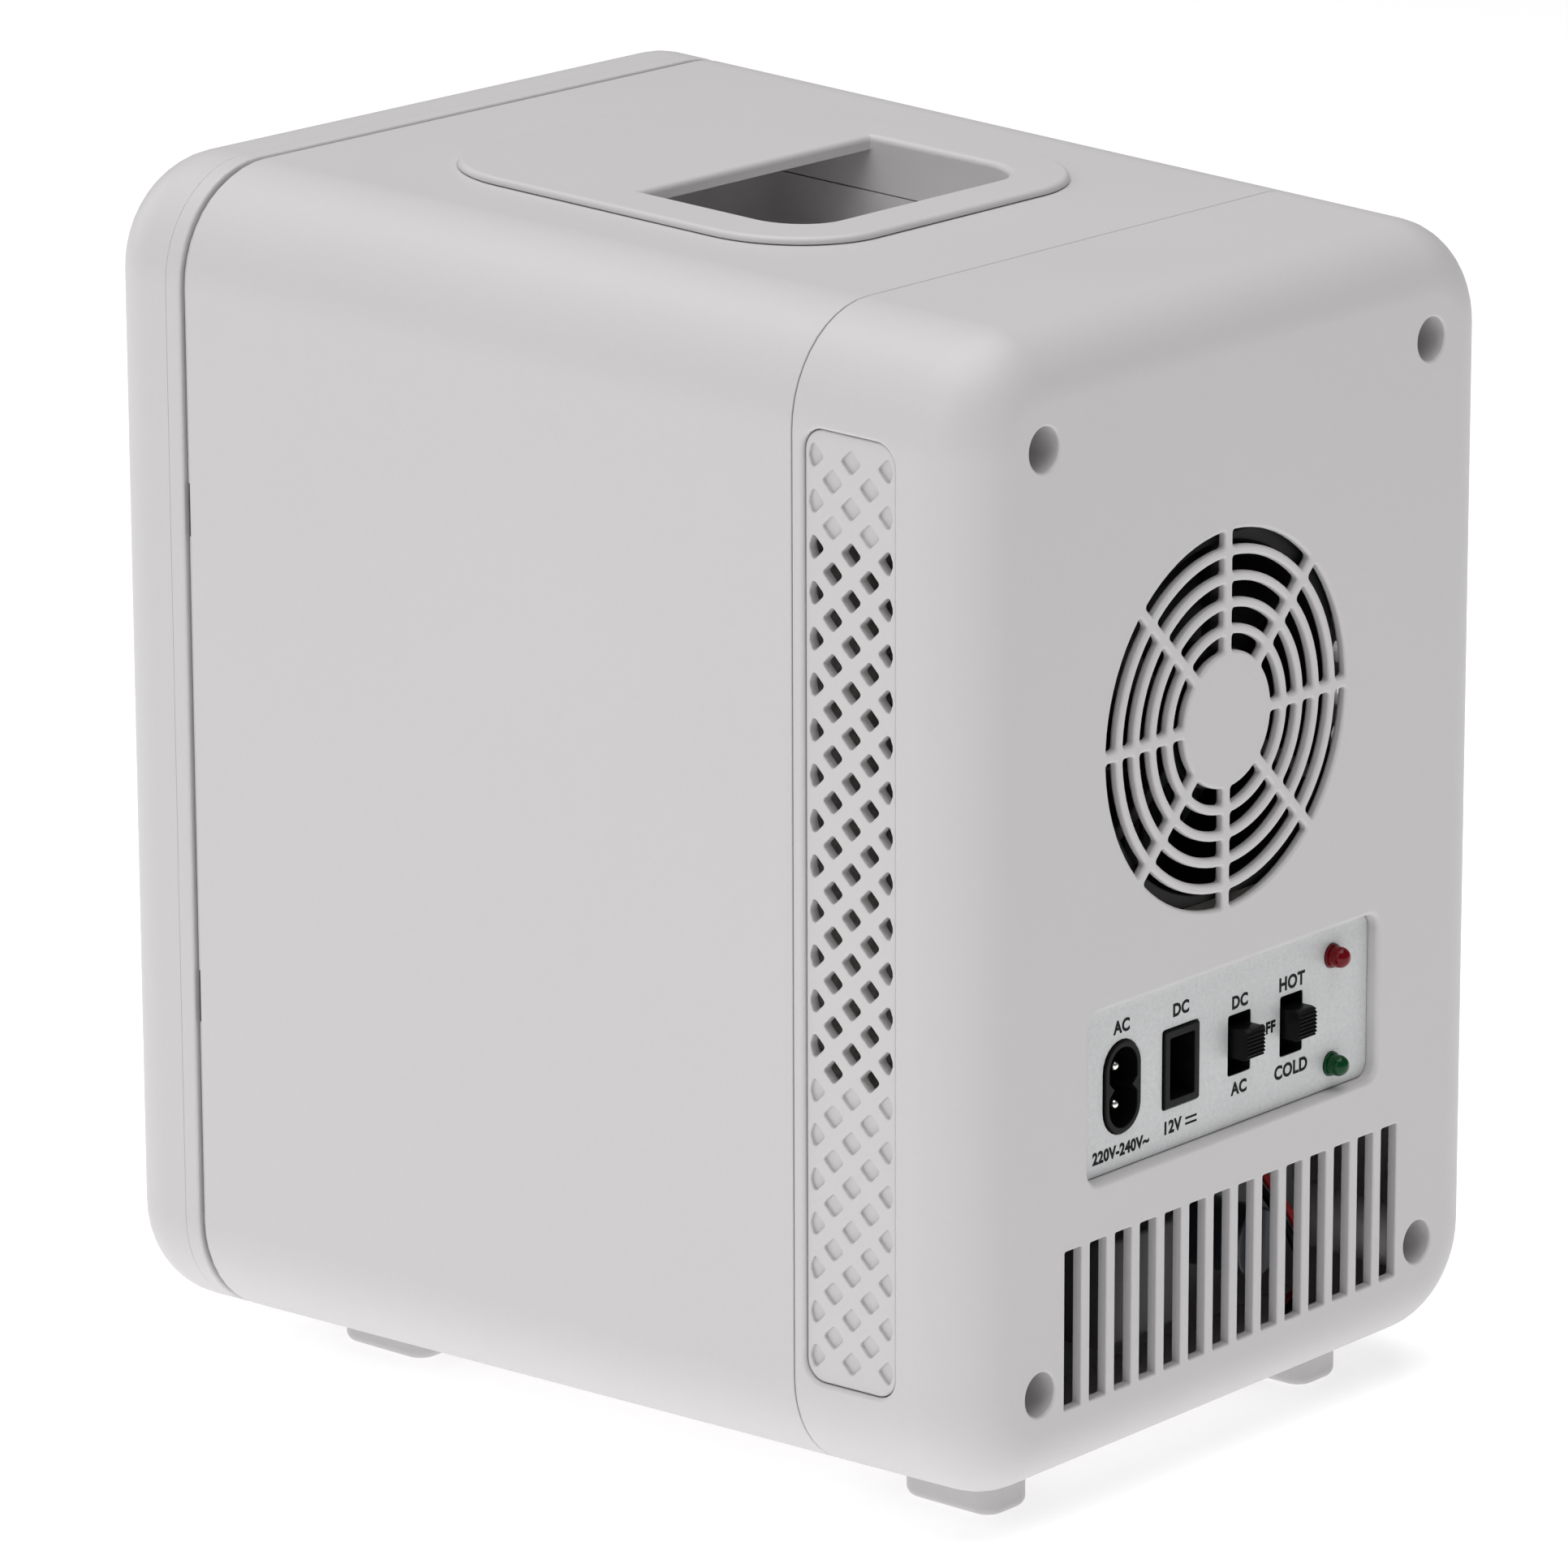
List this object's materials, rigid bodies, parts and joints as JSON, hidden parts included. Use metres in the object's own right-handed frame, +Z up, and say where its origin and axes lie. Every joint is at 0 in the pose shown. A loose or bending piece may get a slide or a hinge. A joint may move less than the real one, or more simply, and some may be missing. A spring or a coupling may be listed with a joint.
{
  "type": "mini fridge",
  "caption": "Small thermoelectric fridge with a hinged door, a recessed carry grip, a rear fan grille, power inlets and slide switches.",
  "frame": {"origin": "on the ground under the middle of the whole object", "axes": "+X right seen from the front, the door faces -Y, the fan and the inlets face +Y, +Z up"},
  "size_m": [0.1944, 0.2438, 0.2723],
  "materials": {
    "casing": "satin moulded off-white",
    "inner_white": "smooth white",
    "black_plastic": "moulded black",
    "foam": "expanded beads",
    "gasket_grey": "soft matt",
    "aluminium": "extruded, bare",
    "steel": "plated",
    "bright_pin": "nickel-plated",
    "ceramic": "unglazed ceramic",
    "control_silver": "fine silver sparkle, satin",
    "circuit_board": "lacquered board",
    "transformer_tape": "yellow winding tape",
    "capacitor_sleeve": "shrink sleeve",
    "red_wire": "soft sleeve",
    "red_lamp": "tinted clear dome",
    "green_lamp": "tinted clear dome"
  },
  "bodies": {
    "cabinet": {"handle_plate": "casing", "handle_cup": "casing", "hinge_bracket_lower": "steel", "hinge_pin_lower": "steel", "hinge_bracket_upper": "steel", "hinge_pin_upper": "steel", "body_shell": "casing", "inner_liner": "inner_white", "cabinet_insulation": "foam", "catch_strike_lower": "steel", "catch_strike_upper": "steel", "shelf": "inner_white", "back_housing": "casing", "side_vent_right": "casing", "side_vent_left": "casing", "screw_lower_left": "steel", "screw_upper_left": "steel", "screw_lower_right": "steel", "screw_upper_right": "steel", "foot_front_left": "casing", "foot_rear_left": "casing", "foot_front_right": "casing", "foot_rear_right": "casing", "fan_frame": "black_plastic", "hot_sink": "aluminium", "peltier_element": "ceramic", "cold_block": "aluminium", "cold_sink": "aluminium", "cold_fan_frame": "black_plastic", "cold_fan_cover": "inner_white", "power_board": "circuit_board", "transformer": "transformer_tape", "capacitor": "capacitor_sleeve", "fan_wire_red": "red_wire", "fan_wire_black": "black_plastic", "control_plate": "control_silver", "ac_inlet": "black_plastic", "ac_pin_lower": "bright_pin", "ac_pin_upper": "bright_pin", "dc_socket": "black_plastic", "dc_pin_lower": "bright_pin", "dc_pin_upper": "bright_pin", "power_switch_body": "black_plastic", "mode_switch_body": "black_plastic", "led_red": "red_lamp", "led_green": "green_lamp"},
    "door": {"door_outer_shell": "casing", "door_inner_panel": "casing", "door_insulation": "foam", "door_gasket": "gasket_grey", "door_rack": "inner_white", "catch_magnet_lower": "black_plastic", "catch_magnet_upper": "black_plastic"},
    "rear_fan": {"fan_rotor": "black_plastic"},
    "inner_fan": {"cold_fan_rotor": "black_plastic"},
    "power_knob": {"power_switch_knob": "black_plastic"},
    "mode_knob": {"mode_switch_knob": "black_plastic"}
  },
  "joints": [
    {"name": "door_hinge", "type": "hinge", "parent": "cabinet", "child": "door", "pos_m": [-0.0924, -0.1019, 0.137], "axis": [0, 0, -1], "range_deg": [0, 105]},
    {"name": "rear_fan_spin", "type": "hinge", "parent": "cabinet", "child": "rear_fan", "pos_m": [0.004, 0.1052, 0.168], "axis": [0, 1, 0], "continuous": true},
    {"name": "inner_fan_spin", "type": "hinge", "parent": "cabinet", "child": "inner_fan", "pos_m": [0.004, 0.0244, 0.168], "axis": [0, 1, 0], "continuous": true},
    {"name": "power_switch_slide", "type": "slide", "parent": "cabinet", "child": "power_knob", "axis": [0, 0, 1], "range_m": [-0.0039, 0.0025]},
    {"name": "mode_switch_slide", "type": "slide", "parent": "cabinet", "child": "mode_knob", "axis": [0, 0, 1], "range_m": [-0.0039, 0.0025]}
  ]
}
